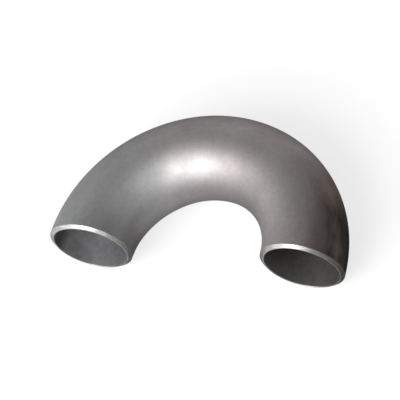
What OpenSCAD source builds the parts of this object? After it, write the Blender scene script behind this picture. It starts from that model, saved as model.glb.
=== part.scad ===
// Long-radius 180 degree return bend for butt welding, a single piece of formed stainless pipe.
// It lies flat: the bend's plane is level, the arch points to +Y and both weld ends face -Y.
// The origin is at the bottom centre of its box.

/* [Pipe] */
// Outside diameter of the pipe that the bend joins
pipe_od = 114.3; // [88.9:0.1:168.3]
// Wall of the bend, even all round
wall = 6.02; // [4:0.01:9]

/* [Bend] */
// Radius from the centre of the bend to the middle of the pipe
bend_r = 152.4; // [120:0.1:305]

/* [Weld ends] */
// Angle of the weld bevel, from the plane of the end
bevel_angle = 37.5; // [30:0.5:45]
// Width of the root face, from the bore to the foot of the bevel
root_face = 1.6; // [1:0.1:2.4]
// Size of the chamfer that deburrs the edge of the bore
bore_break = 0.3; // [0.1:0.1:0.6]

/* [Hidden] */
// Facets of a full turn
$fn = 180;
// How far a cutter runs past the metal that it removes
overrun = 2;
// A return bend turns the flow right round
sweep_angle = 180;
// The edge of the bore is broken evenly between the root face and the wall
break_angle = 45;
stainless = [0.50, 0.49, 0.48];

pipe_r = pipe_od / 2;
bore_r = pipe_r - wall;
root_r = bore_r + root_face;
// From the plane of the weld ends to the back of the arch
end_to_back = bend_r + pipe_r;

// The pipe's section, swept around the centre of the bend
module formed_pipe() {
    rotate_extrude(angle = sweep_angle)
    translate([bend_r, 0])
    difference() {
        circle(r = pipe_r);
        circle(r = bore_r);
    }
}

// What is turned off outside the root face, a ring with a conical inside
module bevel_cut() {
    foot_r = root_r - overrun;
    foot_h = -overrun * tan(bevel_angle);
    crest_r = pipe_r + overrun;
    crest_h = (crest_r - root_r) * tan(bevel_angle);
    rotate_extrude()
    polygon([[foot_r, foot_h], [crest_r, foot_h], [crest_r, crest_h]]);
}

// What a deburring cone takes off the edge of the bore
module bore_break_cut() {
    mouth_r = bore_r + bore_break + overrun;
    mouth_h = -overrun * tan(break_angle);
    tip_r = bore_r - overrun;
    tip_h = (bore_break + overrun) * tan(break_angle);
    rotate_extrude()
    polygon([[0, mouth_h], [mouth_r, mouth_h], [tip_r, tip_h], [0, tip_h]]);
}

// Both cuts share the axis of one weld end, which is turned to point into the pipe
module weld_end_cuts() {
    rotate([-90, 0, 0]) {
        bevel_cut();
        bore_break_cut();
    }
}

module return_bend() {
    color(stainless)
    translate([0, -end_to_back / 2, pipe_r])
    difference() {
        formed_pipe();
        for (side = [-1, 1]) {
            translate([side * bend_r, 0, 0])
            weld_end_cuts();
        }
    }
}

return_bend();
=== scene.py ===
"""A stainless return bend lying on a pale floor: its mesh, its materials, the light and the camera.

Every length is in metres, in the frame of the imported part.
"""

import math

import bpy
import numpy as np
from mathutils import Matrix, Vector, noise


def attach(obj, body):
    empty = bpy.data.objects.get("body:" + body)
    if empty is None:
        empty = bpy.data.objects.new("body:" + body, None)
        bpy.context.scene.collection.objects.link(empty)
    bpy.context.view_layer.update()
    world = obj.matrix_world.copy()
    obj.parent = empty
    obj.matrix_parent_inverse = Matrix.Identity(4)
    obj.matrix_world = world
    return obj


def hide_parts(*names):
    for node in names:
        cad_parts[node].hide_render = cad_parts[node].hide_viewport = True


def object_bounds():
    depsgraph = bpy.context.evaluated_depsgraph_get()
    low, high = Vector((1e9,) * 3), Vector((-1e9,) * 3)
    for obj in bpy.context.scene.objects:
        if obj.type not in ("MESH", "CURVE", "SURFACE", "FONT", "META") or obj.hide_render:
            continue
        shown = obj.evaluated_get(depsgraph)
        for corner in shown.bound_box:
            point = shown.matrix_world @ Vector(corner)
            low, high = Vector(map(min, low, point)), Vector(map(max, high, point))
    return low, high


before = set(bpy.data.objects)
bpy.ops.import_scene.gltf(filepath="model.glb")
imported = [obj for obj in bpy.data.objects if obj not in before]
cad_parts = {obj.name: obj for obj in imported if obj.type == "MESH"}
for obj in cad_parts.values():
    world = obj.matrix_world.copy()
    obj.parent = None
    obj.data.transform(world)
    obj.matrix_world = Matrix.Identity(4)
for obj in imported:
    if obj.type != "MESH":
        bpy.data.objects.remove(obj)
cad_low, cad_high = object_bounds()

MM = 0.001

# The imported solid's box gives the pipe and the bend
PIPE_R = (cad_high.z - cad_low.z) / 2
BEND_R = (cad_high.x - cad_low.x) / 2 - PIPE_R
END_Y = cad_low.y
AXIS_Z = (cad_high.z + cad_low.z) / 2
BEND_LENGTH = BEND_R * math.pi

# Weld ends, as they are in the solid
WALL = 6.02 * MM
ROOT_FACE = 1.6 * MM
BORE_BREAK = 0.3 * MM
BEVEL_ANGLE = 37.5
BEVEL_SLOPE = math.tan(math.radians(BEVEL_ANGLE))
BORE_R = PIPE_R - WALL
ROOT_R = BORE_R + ROOT_FACE

# How far each worn edge is rounded back along the faces beside it
CREST_SOFT = 0.35 * MM
FOOT_SOFT = 0.12 * MM
MOUTH_SOFT = 0.08 * MM

# A formed wall is never quite even: depth and spacing of its shallow hollows, and
# the length over which they fade out, because the weld ends are true
HOLLOW_DEPTH = 0.5 * MM
HOLLOW_SPACING = 75 * MM
HOLLOW_FADE = 40 * MM

# Mesh density: steps round the pipe, along the bend outside and in the bore, and over an edge
AROUND = 192
ALONG_SKIN = 240
ALONG_BORE = 150
OVER_EDGE = 4
# Where the rings lie between the edges of the root face and of the bevel
ROOT_FACE_SHARES = (0.1, 0.5, 0.9)
BEVEL_SHARES = (0.04, 0.25, 0.5, 0.75, 0.96)
# Rounds in which the crest of the bevel is found
CREST_ROUNDS = 6
# The finishes, in the order of their material slots
FINISH_NAMES = ["skin", "turned", "bore"]

PHI = np.linspace(0, 2 * math.pi, AROUND, endpoint=False)


def bend_ring(radius, angle):
    """A ring of the pipe at an angle round the bend. Both may vary round the ring."""
    reach = BEND_R + radius * np.cos(PHI)
    return np.stack([reach * np.cos(angle), reach * np.sin(angle), radius * np.sin(PHI)], -1)


def end_ring(radius, height):
    """A ring coaxial with the right weld end, at a height above its plane."""
    return np.stack([BEND_R + radius * np.cos(PHI), height + 0 * PHI, radius * np.sin(PHI)], -1)


def crest_of_bevel():
    """Radius and height at which the bevel's cone meets the curved outside, found by stepping to it."""
    radius = np.full_like(PHI, PIPE_R)
    for _ in range(CREST_ROUNDS):
        height = (radius - ROOT_R) * BEVEL_SLOPE
        reach = np.hypot(BEND_R + radius * np.cos(PHI), height)
        radius += PIPE_R - np.hypot(reach - BEND_R, radius * np.sin(PHI))
    return radius, (radius - ROOT_R) * BEVEL_SLOPE


def towards(start, end, length):
    """The points that lie a length from start on the way to end."""
    way = end - start
    return start + way * length / np.linalg.norm(way, axis=1, keepdims=True)


def over_edge(before, corner, after):
    """Rings that round a corner off, from one face beside it to the other."""
    made = []
    for share in np.linspace(0, 1, OVER_EDGE + 1):
        left = 1 - share
        made.append(before * left ** 2 + corner * 2 * share * left + after * share ** 2)
    return made


def across(start, end, shares):
    """Rings on a flat or conical face between two of its rings."""
    return [start + (end - start) * share for share in shares]


def hollow(share, angle):
    """How deep the shallow hollows are round a ring that lies at a share of the bend."""
    along = BEND_LENGTH * share
    fade = min(1.0, min(along, BEND_LENGTH - along) / HOLLOW_FADE)
    # Slow at both ends, so that no crease shows where the hollows begin
    eased = fade * fade * (3 - 2 * fade)
    depth = []
    for phi, turn in zip(PHI, angle):
        place = Vector((math.cos(phi) * PIPE_R, math.sin(phi) * PIPE_R, BEND_R * turn))
        depth.append((noise.noise(place / HOLLOW_SPACING) + 1) / 2)
    return HOLLOW_DEPTH * eased * np.array(depth)


def right_end_rings():
    """Rings of the right weld end, from bore to skin, and the angles at which bore and skin begin."""
    crest_r, crest_h = crest_of_bevel()
    reach = BEND_R + PIPE_R * np.cos(PHI)
    bore_from = np.arctan2(BORE_BREAK, BEND_R + BORE_R * np.cos(PHI)) + MOUTH_SOFT / reach
    skin_from = np.arctan2(crest_h, BEND_R + crest_r * np.cos(PHI)) + CREST_SOFT / reach
    in_bore = bend_ring(BORE_R, bore_from)
    bore_edge = end_ring(BORE_R, BORE_BREAK)
    mouth = end_ring(BORE_R + BORE_BREAK, 0)
    foot = end_ring(ROOT_R, 0)
    crest = end_ring(crest_r, crest_h)
    on_skin = bend_ring(PIPE_R, skin_from)
    mouth_in = towards(mouth, bore_edge, MOUTH_SOFT)
    mouth_out = towards(mouth, foot, MOUTH_SOFT)
    foot_in = towards(foot, mouth, FOOT_SOFT)
    foot_out = towards(foot, crest, FOOT_SOFT)
    crest_in = towards(crest, foot, CREST_SOFT)
    rings = over_edge(in_bore, bore_edge, towards(bore_edge, mouth, MOUTH_SOFT))
    rings += over_edge(mouth_in, mouth, mouth_out)
    rings += across(mouth_out, foot_in, ROOT_FACE_SHARES)
    rings += over_edge(foot_in, foot, foot_out)
    rings += across(foot_out, crest_in, BEVEL_SHARES)
    rings += over_edge(crest_in, crest, on_skin)
    return rings, bore_from, skin_from


def build_bend():
    """One closed mesh of right end, skin, left end and bore. Each point keeps its straight-pipe place:
    how far out of the bend it lies, its height, and its way along the bend from the right end."""
    ends, bore_from, skin_from = right_end_rings()
    rings = []
    straight = []
    finishes = []

    def add(points, finish):
        """Keep a ring, its straight-pipe places and the finish of the strip that follows it."""
        rings.append(points)
        finishes.append(finish)
        angle = np.arctan2(points[:, 1], points[:, 0])
        reach = np.hypot(points[:, 0], points[:, 1]) - BEND_R
        straight.append(np.stack([reach, points[:, 2], BEND_R * angle], -1))

    for points in ends:
        add(points, "turned")
    for share in np.linspace(0, 1, ALONG_SKIN + 1)[1:-1]:
        angle = skin_from + (math.pi - 2 * skin_from) * share
        add(bend_ring(PIPE_R - hollow(share, angle), angle), "skin")
    for points in reversed(ends):
        add(points * np.array([-1, 1, 1]), "turned")
    for share in np.linspace(1, 0, ALONG_BORE + 1)[1:-1]:
        angle = bore_from + (math.pi - 2 * bore_from) * share
        add(bend_ring(BORE_R - hollow(share, angle), angle), "bore")

    # The strips just past the ends' last rings belong to the skin and to the bore
    finishes[len(ends) - 1] = "skin"
    finishes[-ALONG_BORE] = "bore"
    faces = []
    slots = []
    for ring, finish in enumerate(finishes):
        near = ring * AROUND
        far = (ring + 1) % len(rings) * AROUND
        for step in range(AROUND):
            after = (step + 1) % AROUND
            faces.append((near + step, far + step, far + after, near + after))
            slots.append(FINISH_NAMES.index(finish))
    mesh = bpy.data.meshes.new("return_bend_formed")
    places = np.concatenate(rings) + np.array([0, END_Y, AXIS_Z])
    mesh.from_pydata(places.tolist(), [], faces)
    mesh.polygons.foreach_set("material_index", slots)
    mesh.polygons.foreach_set("use_smooth", [True] * len(faces))
    kept = mesh.attributes.new("straight_pipe", "FLOAT_VECTOR", "POINT")
    kept.data.foreach_set("vector", np.concatenate(straight).astype(np.float32).ravel())
    mesh.update()
    piece = bpy.data.objects.new("bend", mesh)
    bpy.context.scene.collection.objects.link(piece)
    return piece


# Helpers for materials

# Where most of a noise's values lie
NOISE_LOW = 0.3
NOISE_HIGH = 0.7
# How much fine detail a noise has
BARE = 0.0
SOFT = 2.0
RICH = 3.0
NOISE_ROUGHNESS = 0.55
# A tint that changes nothing
PLAIN = (1, 1, 1)


def grey(level):
    """A tint that darkens below 1 and lightens above it, with no change of hue."""
    return (level, level, level)


def put(tree, kind, inputs=None, **settings):
    """A node of a kind, with its settings, and its inputs set or linked by name."""
    node = tree.nodes.new("ShaderNode" + kind)
    for name, value in settings.items():
        setattr(node, name, value)
    for name, value in (inputs or {}).items():
        if isinstance(value, bpy.types.NodeSocket):
            tree.links.new(value, node.inputs[name])
        else:
            node.inputs[name].default_value = value
    return node


def maths(tree, operation, first, second):
    """Two values joined by an operation."""
    return put(tree, "Math", {0: first, 1: second}, operation=operation).outputs["Value"]


def product(tree, first, second):
    """Two colours or vectors multiplied."""
    return put(tree, "VectorMath", {0: first, 1: second}, operation="MULTIPLY").outputs["Vector"]


def component(tree, vector, axis):
    """One of a vector's three values."""
    return put(tree, "SeparateXYZ", {"Vector": vector}).outputs[axis]


def spread(tree, value, low, high, new_low, new_high, smooth=False):
    """A value moved from one range to another."""
    limits = {"Value": value, "From Min": low, "From Max": high, "To Min": new_low, "To Max": new_high}
    kind = "SMOOTHSTEP" if smooth else "LINEAR"
    return put(tree, "MapRange", limits, interpolation_type=kind).outputs["Result"]


def grain(tree, place, size, detail, stretch=1):
    """Noise whose features measure a size, and are longer along the bend where stretch is above 1."""
    scaled = product(tree, place, (1 / size, 1 / size, 1 / (size * stretch)))
    inputs = {"Vector": scaled, "Scale": 1.0, "Detail": detail, "Roughness": NOISE_ROUGHNESS}
    return put(tree, "TexNoise", inputs).outputs["Fac"]


def tint(tree, value, *stops):
    """A colour for each of several values, blended between them."""
    node = put(tree, "ValToRGB", {"Fac": value})
    elements = node.color_ramp.elements
    while len(elements) < len(stops):
        elements.new(0.5)
    for element, (at, colour) in zip(elements, stops):
        element.position = at
        element.color = (*colour, 1)
    return node.outputs["Color"]


def changed(tree, colour, mask, *stops):
    """A colour as it is where a mask is 0, and multiplied by the tints of the stops above that."""
    return product(tree, colour, tint(tree, mask, (0.0, PLAIN), *stops))


def shade(tree, colour, value, low, high):
    """A colour darkened where a noise is low and lightened where it is high."""
    return product(tree, colour, tint(tree, value, (NOISE_LOW, grey(low)), (NOISE_HIGH, grey(high))))


def bumps(tree, *layers):
    """Heights in metres laid over each other. Each layer is a value and its depth."""
    normal = None
    for value, depth in layers:
        inputs = {"Height": value, "Distance": depth, "Strength": 1.0}
        if normal is not None:
            inputs["Normal"] = normal
        normal = put(tree, "Bump", inputs).outputs["Normal"]
    return normal


def metal(name, edge):
    """A metal material, its tree, its shader and the point's straight-pipe place."""
    material = bpy.data.materials.new(name)
    material.use_nodes = True
    tree = material.node_tree
    shader = tree.nodes["Principled BSDF"]
    shader.inputs["Metallic"].default_value = 1
    shader.inputs["Specular Tint"].default_value = (*grey(edge), 1)
    place = put(tree, "Attribute", attribute_name="straight_pipe").outputs["Vector"]
    return material, tree, shader, place


def fade_across(tree, place, start, end):
    """From 0 to 1 between two places across the bend, in pipe radii, outer side positive."""
    out = component(tree, place, "X")
    return spread(tree, out, start * PIPE_R, end * PIPE_R, 0.0, 1.0, smooth=True)


def fade_along(tree, place, start, end):
    """From 0 to 1 between two places along the bend, in bend radii from the right end."""
    along = component(tree, place, "Z")
    return spread(tree, along, start * BEND_R, end * BEND_R, 0.0, 1.0, smooth=True)


def region(tree, place, limits):
    """How far a point lies inside a region of the bend, from 0 to 1."""
    sideways, lengthways = limits
    inside = fade_across(tree, place, *sideways)
    return maths(tree, "MULTIPLY", inside, fade_along(tree, place, *lengthways))


def band(tree, place, limits):
    """How far a point lies inside a region that fades out on both sides of a line along the bend."""
    (start, middle, end), lengthways = limits
    before = region(tree, place, ((start, middle), lengthways))
    beyond = region(tree, place, ((end, middle), lengthways))
    return maths(tree, "MULTIPLY", before, beyond)


# Areas of the bend. Each fades in between two places across it, in pipe radii from the middle
# towards the outer side, and between two places along it, in bend radii from the right end.
# A band has a place more across it, because it fades out again on the other side

# Both ends lie past these places, so that nothing fades along the bend
WHOLE_LENGTH = (-1.0, -0.5)
# Heat tint and painted shade on the right leg's outer side
HEATED_AND_SHADED = ((0.0, 1.0), (1.12, 0.28))
# The next areas and bands hold painted light and painted shade on the skin
THROAT = ((-0.8, -1.0), (2.4, 3.0))
INNER_RIGHT = ((0.1, -0.7), (0.95, 0.2))
OUTER_LEFT = ((-0.1, 1.0), (2.2, 2.9))
INNER_EDGE = ((-0.8, -1.0), WHOLE_LENGTH)
TOP_LEFT_BAND = ((0.15, -0.35, -0.95), (1.65, 2.2))
TOP_RIGHT_BAND = ((-0.75, 0.1, 0.75), (1.1, 0.35))
COLLAR_LEFT_BAND = ((-0.1, -0.7, -1.02), (2.3, 2.9))
# Where painted shade darkens the inner side of each bevel
INNER_BEVEL = ((-0.3, -0.95), WHOLE_LENGTH)
# Where painted shade darkens a strip of the left bore
LEFT_BORE_SHADE_STRIP = ((0.82, 0.9), (2.2, 2.9))

# The heat tint and the painted shade on the right flank are uneven: the least and the most of them in
# their patches
HEAT_AND_SHADE_UNEVEN = (0.84, 1.16)


def heat_and_shade_mask(tree, place, patches):
    """How strongly heat tint and painted shade darken a point: most on the right leg's outer side, which
    faces away from the light, in patches.
    """
    uneven = spread(tree, patches, NOISE_LOW, NOISE_HIGH, *HEAT_AND_SHADE_UNEVEN)
    return maths(tree, "MULTIPLY", region(tree, place, HEATED_AND_SHADED), uneven)


# Skin: colours of its clouds, how rough the dark and the pale ones are, and its edge tint at grazing
# angles
SKIN_DARK = (0.335, 0.335, 0.336)
SKIN_PALE = (0.392, 0.392, 0.393)
SKIN_ROUGH = (0.59, 0.53)
SKIN_EDGE = 0.12
# Sizes of its features, and how far some of them are stretched along the bend
CLOUD_SIZE = 45 * MM
HUE_SIZE = 55 * MM
BLOTCH_SIZE = 6 * MM
GRIT_SIZE = 0.7 * MM
PIT_SIZE = 2.4 * MM
DRAWN_SIZE = 2.2 * MM
DRAWN_STRETCH = 60
HEAT_AND_SHADE_PATCH_SIZE = 20 * MM
HEAT_AND_SHADE_PATCH_STRETCH = 2.2
# How much they darken and lighten it, and how deep they are
BLOTCH_SHADES = (0.95, 1.05)
BLOTCH_DEPTH = 0.03 * MM
DRAWN_SHADES = (0.98, 1.02)
DRAWN_DEPTH = 0.008 * MM
GRIT_SHADES = (0.95, 1.05)
GRIT_DEPTH = 0.015 * MM
# The lowest values of the pits' noise are dark pits, and the highest are bright scuffs
PIT_STOPS = ((0.13, (0.72, 0.71, 0.7)), (0.17, PLAIN), (0.83, PLAIN), (0.88, grey(1.25)))
# The forming heat left the bend a little warmer in colour, from the left leg's middle on, and fully
# from just past the back of the arch. Both places are in bend radii from the right end
WARM_CAST = (0.98, 0.918, 0.912)
WARM_ALONG = (2.75, 1.35)
# Slow changes of hue, from bluish to rusty
HUE_STOPS = ((0.34, (0.98, 0.985, 1.0)), (0.5, PLAIN), (0.66, (1, 0.975, 0.975)))
# Heat colours, from straw at their faint edge through brown to near black. The straw and brown are heat
# tint, and the near black is painted shade on the side of the right leg that faces away from the light
HEAT_AND_SHADE_STOPS = ((0.3, (0.86, 0.835, 0.82)), (0.7, (0.58, 0.515, 0.48)), (1.0, (0.17, 0.17, 0.155)))
# Painted light and shade on the skin, where it is darkened or lightened and by how much: the throat, the
# inner edge and the two top bands are painted shade, and the inner right, the outer left and the left
# collar are painted light
SKIN_PAINTED_LIGHT_AND_SHADE_AREAS = (
    (THROAT, (0.6, 0.59, 0.58)),
    (INNER_RIGHT, grey(1.3)),
    (OUTER_LEFT, grey(1.32)),
    (INNER_EDGE, (0.82, 0.81, 0.82)),
)
SKIN_PAINTED_LIGHT_AND_SHADE_BANDS = (
    (TOP_LEFT_BAND, grey(0.84)),
    (TOP_RIGHT_BAND, grey(0.84)),
    (COLLAR_LEFT_BAND, grey(1.28)),
)


def pickled_skin():
    """Blasted and pickled outside: fine grain, soft clouds and drawn lines, a right flank that is partly
    heat-tinted and partly painted shade, and areas of painted light and painted shade.
    """
    material, tree, shader, place = metal("pickled_skin", SKIN_EDGE)
    clouds = grain(tree, place, CLOUD_SIZE, RICH)
    hues = grain(tree, place, HUE_SIZE, SOFT)
    blotches = grain(tree, place, BLOTCH_SIZE, RICH)
    grit = grain(tree, place, GRIT_SIZE, SOFT)
    drawn = grain(tree, place, DRAWN_SIZE, SOFT, DRAWN_STRETCH)
    pits = grain(tree, place, PIT_SIZE, BARE)
    patches = grain(tree, place, HEAT_AND_SHADE_PATCH_SIZE, RICH, HEAT_AND_SHADE_PATCH_STRETCH)
    colour = tint(tree, clouds, (NOISE_LOW, SKIN_DARK), (NOISE_HIGH, SKIN_PALE))
    colour = changed(tree, colour, fade_along(tree, place, *WARM_ALONG), (1.0, WARM_CAST))
    colour = product(tree, colour, tint(tree, hues, *HUE_STOPS))
    colour = shade(tree, colour, blotches, *BLOTCH_SHADES)
    colour = shade(tree, colour, drawn, *DRAWN_SHADES)
    colour = shade(tree, colour, grit, *GRIT_SHADES)
    colour = product(tree, colour, tint(tree, pits, *PIT_STOPS))
    # Heat tint, and painted shade on the right leg's outer flank
    colour = changed(tree, colour, heat_and_shade_mask(tree, place, patches), *HEAT_AND_SHADE_STOPS)
    # Painted light and painted shade, area by area and band by band
    for limits, change in SKIN_PAINTED_LIGHT_AND_SHADE_AREAS:
        colour = changed(tree, colour, region(tree, place, limits), (1.0, change))
    for limits, change in SKIN_PAINTED_LIGHT_AND_SHADE_BANDS:
        colour = changed(tree, colour, band(tree, place, limits), (1.0, change))
    tree.links.new(colour, shader.inputs["Base Color"])
    rough = spread(tree, clouds, NOISE_LOW, NOISE_HIGH, *SKIN_ROUGH)
    tree.links.new(rough, shader.inputs["Roughness"])
    height = bumps(tree, (blotches, BLOTCH_DEPTH), (drawn, DRAWN_DEPTH), (grit, GRIT_DEPTH))
    tree.links.new(height, shader.inputs["Normal"])
    return material


# Weld ends: colours of their turning lines, how rough they are in their dark and in their pale
# patches, and their edge tint
TURNED_DARK = (0.48, 0.475, 0.47)
TURNED_PALE = (0.66, 0.655, 0.65)
TURNED_ROUGH = (0.42, 0.34)
TURNED_EDGE = 0.6
# Pitch of the fine lines and of the broad streaks, and how often they change round the turn
LINE_PITCH = 0.3 * MM
LINE_CHANGES = 5
LINE_DEPTH = 0.02 * MM
STREAK_PITCH = 1.1 * MM
STREAK_CHANGES = 7
STREAK_SHADES = (0.7, 1.16)
END_PATCH_SIZE = 14 * MM
END_PATCH_SHADES = (0.88, 1.04)
# The narrow root face takes this share of the painted shade and the heat tint that darken the bevel. The
# share grows to all of it between two radii on either side of the root face's outer edge
ROOT_SHARE_DARKENED = 0.4
ROOT_INSIDE = ROOT_R - 0.1 * MM
ROOT_OUTSIDE = ROOT_R + 0.2 * MM
# Painted shade on the lower side of each bevel: heights on it, in its own radii, at which the painted
# shade starts and at which it is full
BEVEL_SHADE_FROM = 0.85
BEVEL_SHADE_TO = -0.6
LOWER_BEVEL_SHADE_STOPS = ((0.42, (0.6, 0.59, 0.58)), (1.0, (0.34, 0.335, 0.33)))
# Painted shade on the inner side of each bevel, the side towards the other leg
INNER_BEVEL_SHADE = (0.5, 0.49, 0.48)
# Scale from the heat is left on the right bevel too, and painted shade darkens its outer side along with
# it
END_HEAT_AND_SHADE_STOPS = ((0.12, (0.7, 0.68, 0.66)), (0.5, (0.36, 0.34, 0.325)), (1.0, (0.22, 0.21, 0.2)))


def turned_steel():
    """Bright weld ends: fine turning lines round the end's axis, a little uneven round the turn, with
    painted shade on their lower and inner sides, and heat tint with painted shade on the right end's outer
    side.
    """
    material, tree, shader, place = metal("turned_steel", TURNED_EDGE)
    flat = product(tree, place, (1, 1, 0))
    around = put(tree, "VectorMath", {0: flat}, operation="NORMALIZE").outputs["Vector"]
    radius = put(tree, "VectorMath", {0: flat}, operation="LENGTH").outputs["Value"]

    def circles(pitch, changes, detail):
        """Noise that runs in circles round the end's axis, a pitch apart, and changes on the way round."""
        turning = product(tree, around, grey(changes))
        outwards = maths(tree, "MULTIPLY", radius, 1 / pitch)
        parts = {"X": component(tree, turning, "X"), "Y": component(tree, turning, "Y"), "Z": outwards}
        where = put(tree, "CombineXYZ", parts).outputs["Vector"]
        return put(tree, "TexNoise", {"Vector": where, "Scale": 1.0, "Detail": detail}).outputs["Fac"]

    lines = circles(LINE_PITCH, LINE_CHANGES, RICH)
    streaks = circles(STREAK_PITCH, STREAK_CHANGES, SOFT)
    patches = grain(tree, place, END_PATCH_SIZE, SOFT)
    kept = spread(tree, radius, ROOT_INSIDE, ROOT_OUTSIDE, ROOT_SHARE_DARKENED, 1.0)

    def darken_bevel(colour, mask, *stops):
        """A colour changed by tints where a mask is strong, less so on the root face."""
        return changed(tree, colour, maths(tree, "MULTIPLY", mask, kept), *stops)

    colour = tint(tree, lines, (NOISE_LOW, TURNED_DARK), (NOISE_HIGH, TURNED_PALE))
    colour = shade(tree, colour, patches, *END_PATCH_SHADES)
    colour = shade(tree, colour, streaks, *STREAK_SHADES)
    # Painted shade on the lower side of each bevel
    lower_shade = spread(tree, component(tree, around, "Y"), BEVEL_SHADE_FROM, BEVEL_SHADE_TO, 0.0, 1.0, smooth=True)
    colour = darken_bevel(colour, lower_shade, *LOWER_BEVEL_SHADE_STOPS)
    # Painted shade on the inner side of the bevel
    colour = darken_bevel(colour, region(tree, place, INNER_BEVEL), (1.0, INNER_BEVEL_SHADE))
    # Heat tint, and painted shade on the right bevel's outer side
    colour = darken_bevel(colour, heat_and_shade_mask(tree, place, patches), *END_HEAT_AND_SHADE_STOPS)
    tree.links.new(colour, shader.inputs["Base Color"])
    rough = spread(tree, patches, NOISE_LOW, NOISE_HIGH, *TURNED_ROUGH)
    tree.links.new(rough, shader.inputs["Roughness"])
    tree.links.new(bumps(tree, (lines, LINE_DEPTH)), shader.inputs["Normal"])
    return material


# Bore: colours of its clouds, how rough the dark and the pale ones are, and its edge tint
BORE_DARK = (0.34, 0.34, 0.335)
BORE_PALE = (0.5, 0.5, 0.515)
BORE_ROUGH = (0.57, 0.49)
BORE_EDGE = 0.4
# Sizes of its features, how much they darken and lighten it, and how deep they are
BORE_CLOUD_SIZE = 24 * MM
MOTTLE_SIZE = 9 * MM
MOTTLE_SHADES = (0.86, 1.12)
MOTTLE_DEPTH = 0.08 * MM
DRAGGED_SIZE = 7 * MM
DRAGGED_STRETCH = 12
DRAGGED_SHADES = (0.975, 1.025)
DRAGGED_DEPTH = 0.012 * MM
BORE_GRIT_SIZE = 0.8 * MM
BORE_GRIT_SHADES = (0.93, 1.07)
BORE_GRIT_DEPTH = 0.02 * MM
# Painted light and shade in the bore, with a warm scale tint: lighter inside the left leg and darker
# inside the right leg, from one place to another in bend radii from the right end. Painted shade also
# darkens a strip on the outer side of the left leg's inside
BORE_SHADE_ALONG = (1.6, 0.3)
BORE_LIGHT_AND_SHADE_STOPS = ((0.0, (1.15, 1.15, 1.17)), (1.0, (0.62, 0.585, 0.56)))
# Painted shade of that strip
LEFT_BORE_SHADE = (0.42, 0.41, 0.395)


def pickled_bore():
    """Inside: duller and bluer than the skin, mottled, with faint drag marks along the bend, painted light
    in the left leg, painted shade in the right leg, and a strip of painted shade.
    """
    material, tree, shader, place = metal("pickled_bore", BORE_EDGE)
    clouds = grain(tree, place, BORE_CLOUD_SIZE, RICH)
    mottles = grain(tree, place, MOTTLE_SIZE, RICH)
    dragged = grain(tree, place, DRAGGED_SIZE, SOFT, DRAGGED_STRETCH)
    grit = grain(tree, place, BORE_GRIT_SIZE, SOFT)
    colour = tint(tree, clouds, (NOISE_LOW, BORE_DARK), (NOISE_HIGH, BORE_PALE))
    colour = shade(tree, colour, mottles, *MOTTLE_SHADES)
    colour = shade(tree, colour, dragged, *DRAGGED_SHADES)
    # Painted light inside the left leg and painted shade inside the right, with a warm scale tint
    bore_shading = fade_along(tree, place, *BORE_SHADE_ALONG)
    colour = product(tree, colour, tint(tree, bore_shading, *BORE_LIGHT_AND_SHADE_STOPS))
    # Painted shade on a strip of the left leg's inside, on its outer side
    colour = changed(tree, colour, region(tree, place, LEFT_BORE_SHADE_STRIP), (1.0, LEFT_BORE_SHADE))
    colour = shade(tree, colour, grit, *BORE_GRIT_SHADES)
    tree.links.new(colour, shader.inputs["Base Color"])
    rough = spread(tree, clouds, NOISE_LOW, NOISE_HIGH, *BORE_ROUGH)
    tree.links.new(rough, shader.inputs["Roughness"])
    height = bumps(tree, (mottles, MOTTLE_DEPTH), (dragged, DRAGGED_DEPTH), (grit, BORE_GRIT_DEPTH))
    tree.links.new(height, shader.inputs["Normal"])
    return material


bend = build_bend()
for finish in (pickled_skin(), turned_steel(), pickled_bore()):
    bend.data.materials.append(finish)
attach(bend, "root")
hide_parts("return_bend")

# Floor: half its side, its colour, and how rough it is
FLOOR_HALF = 30.0
FLOOR_WHITE = 0.9
FLOOR_ROUGH = 0.9
# How far the floor is lifted towards white for the camera and for what mirrors it
FLOOR_LIFT = 0.75


def pale_floor():
    """Matt white that keeps a share of the object's shadow, for the camera, for gloss and for glass."""
    material = bpy.data.materials.new("pale_floor")
    material.use_nodes = True
    tree = material.node_tree
    shader = tree.nodes["Principled BSDF"]
    shader.inputs["Base Color"].default_value = (*grey(FLOOR_WHITE), 1)
    shader.inputs["Roughness"].default_value = FLOOR_ROUGH
    shader.inputs["Specular IOR Level"].default_value = 0.0
    path = put(tree, "LightPath").outputs
    seen = maths(tree, "MAXIMUM", path["Is Camera Ray"], path["Is Glossy Ray"])
    seen = maths(tree, "MAXIMUM", seen, path["Is Transmission Ray"])
    lift = maths(tree, "MULTIPLY", seen, FLOOR_LIFT)
    white = put(tree, "Emission", {"Color": (*PLAIN, 1), "Strength": 1.0}).outputs["Emission"]
    mixed = put(tree, "MixShader", {0: lift, 1: shader.outputs["BSDF"], 2: white}).outputs["Shader"]
    tree.links.new(mixed, tree.nodes["Material Output"].inputs["Surface"])
    return material


floor_mesh = bpy.data.meshes.new("floor")
corners = [(-1, -1), (1, -1), (1, 1), (-1, 1)]
floor_mesh.from_pydata([(FLOOR_HALF * x, FLOOR_HALF * y, 0) for x, y in corners], [], [(0, 1, 2, 3)])
floor = bpy.data.objects.new("floor", floor_mesh)
bpy.context.scene.collection.objects.link(floor)
floor.data.materials.append(pale_floor())

# World: pale in front and to the left, with a soft glow behind, and dark elsewhere. Each light side
# has a direction, the cosine of the angle from it at which the light starts, and a strength
PALE_SIDE = (-0.387, -0.922, -0.017)
PALE_FROM = -0.55
PALE_STRENGTH = 1.36
DARK_STRENGTH = 0.03
GLOW_SIDE = (-0.243, 0.908, 0.342)
GLOW_FROM = 0.65
GLOW_STRENGTH = 0.80
# Key: a far soft lamp, where it stands, how strong it is, and how wide it looks in degrees
KEY_SIDE = (-0.194, -0.750, 0.632)
KEY_STRENGTH = 3.35
KEY_WIDTH = 39


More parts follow.
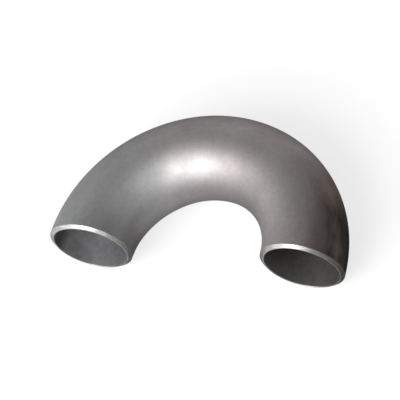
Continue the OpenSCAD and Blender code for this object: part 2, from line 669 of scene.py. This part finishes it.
def studio_world():
    """White light whose strength depends on the way looked in."""
    world = bpy.data.worlds.new("studio")
    world.use_nodes = True
    tree = world.node_tree
    background = tree.nodes["Background"]
    background.inputs["Color"].default_value = (*PLAIN, 1)
    way = put(tree, "TexCoord").outputs["Generated"]

    def lit_side(direction, start, low, high):
        """Brightness that rises from low to high as the way looked in nears a direction."""
        facing = put(tree, "VectorMath", {0: way, 1: direction}, operation="DOT_PRODUCT")
        return spread(tree, facing.outputs["Value"], start, 1.0, low, high, smooth=True)

    pale = lit_side(PALE_SIDE, PALE_FROM, DARK_STRENGTH, PALE_STRENGTH)
    glow = lit_side(GLOW_SIDE, GLOW_FROM, 0.0, GLOW_STRENGTH)
    tree.links.new(maths(tree, "ADD", pale, glow), background.inputs["Strength"])
    return world


def add_key():
    """The key lamp, turned to shine from its side."""
    lamp = bpy.data.lights.new("key", "SUN")
    lamp.energy = KEY_STRENGTH
    lamp.angle = math.radians(KEY_WIDTH)
    holder = bpy.data.objects.new("key", lamp)
    holder.rotation_mode = "QUATERNION"
    holder.rotation_quaternion = Vector(KEY_SIDE).to_track_quat("Z", "Y")
    bpy.context.scene.collection.objects.link(holder)


# Camera: where it stands and its roll, in degrees, its distance, the point it aims at, its focal
# length in pixels of a frame so many pixels wide, its sensor's width in millimetres, and how far
# it sees
CAMERA_AZ = 43.41
CAMERA_EL = 53.84
CAMERA_ROLL = -32.52
CAMERA_DISTANCE = 67.57 * PIPE_R
AIM_X = -0.296 * PIPE_R
AIM_Y = END_Y + 1.514 * PIPE_R
FOCAL_PX = 2905
FRAME_PX = 400
SENSOR_WIDTH = 36.0
FARTHEST_SEEN = 100


def add_camera():
    """The camera, at its distance from the point it aims at, rolled about the way it looks."""
    az = math.radians(CAMERA_AZ)
    el = math.radians(CAMERA_EL)
    back = Vector((math.sin(az) * math.cos(el), -math.cos(az) * math.cos(el), math.sin(el)))
    camera_data = bpy.data.cameras.new("camera")
    camera_data.sensor_width = SENSOR_WIDTH
    camera_data.lens = FOCAL_PX / FRAME_PX * SENSOR_WIDTH
    camera_data.clip_end = FARTHEST_SEEN
    camera = bpy.data.objects.new("camera", camera_data)
    camera.location = Vector((AIM_X, AIM_Y, AXIS_Z)) + back * CAMERA_DISTANCE
    aimed = (-back).to_track_quat("-Z", "Y").to_matrix().to_4x4()
    rolled = aimed @ Matrix.Rotation(math.radians(CAMERA_ROLL), 4, "Z")
    camera.rotation_mode = "QUATERNION"
    camera.rotation_quaternion = rolled.to_quaternion()
    bpy.context.scene.collection.objects.link(camera)
    bpy.context.scene.camera = camera


bpy.context.scene.world = studio_world()
add_key()
add_camera()
bpy.context.scene.view_settings.view_transform = "Standard"
